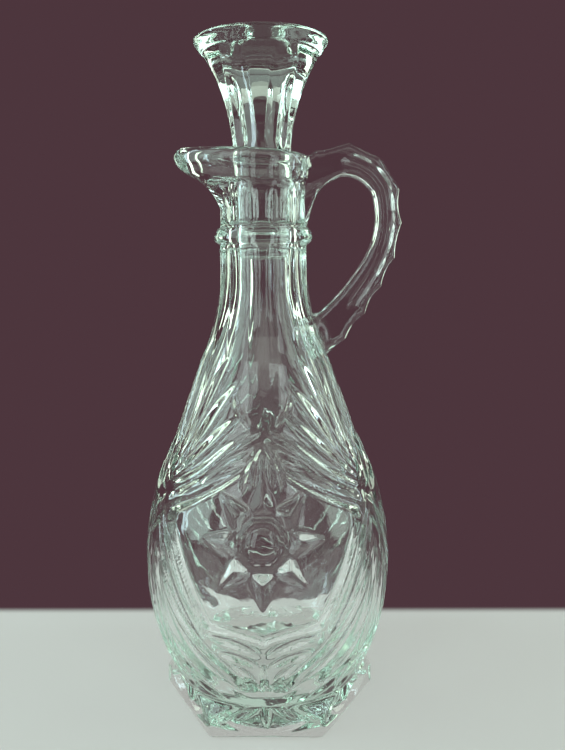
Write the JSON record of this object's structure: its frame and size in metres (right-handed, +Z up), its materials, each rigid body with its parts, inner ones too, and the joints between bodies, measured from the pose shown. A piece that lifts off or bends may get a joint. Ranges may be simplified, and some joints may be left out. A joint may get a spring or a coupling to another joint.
{
  "type": "glass cruet",
  "caption": "Pressed-glass table cruet for oil or vinegar, with a hexagonal foot, a pouring spout, a handle and a lift-out glass stopper.",
  "frame": {"origin": "centre of the hexagonal foot, on the surface that the bottle stands on", "axes": "+Z up the bottle's axis, +X towards the handle, -X towards the spout, and one flat of the foot faces -Y"},
  "size_m": [0.0787, 0.0754, 0.197],
  "materials": {
    "pressed_glass": "clear pressed glass with a faint green tint, fire-polished",
    "stopper_glass": "clear solid glass with a faint green tint, polished head"
  },
  "bodies": {
    "bottle": {"bottle": "pressed_glass", "handle": "pressed_glass"},
    "stopper": {"stopper": "stopper_glass"}
  },
  "joints": [
    {"name": "stopper_lift", "type": "slide", "parent": "bottle", "child": "stopper", "axis": [0, 0, 1], "range_m": [0, 0.045]}
  ]
}
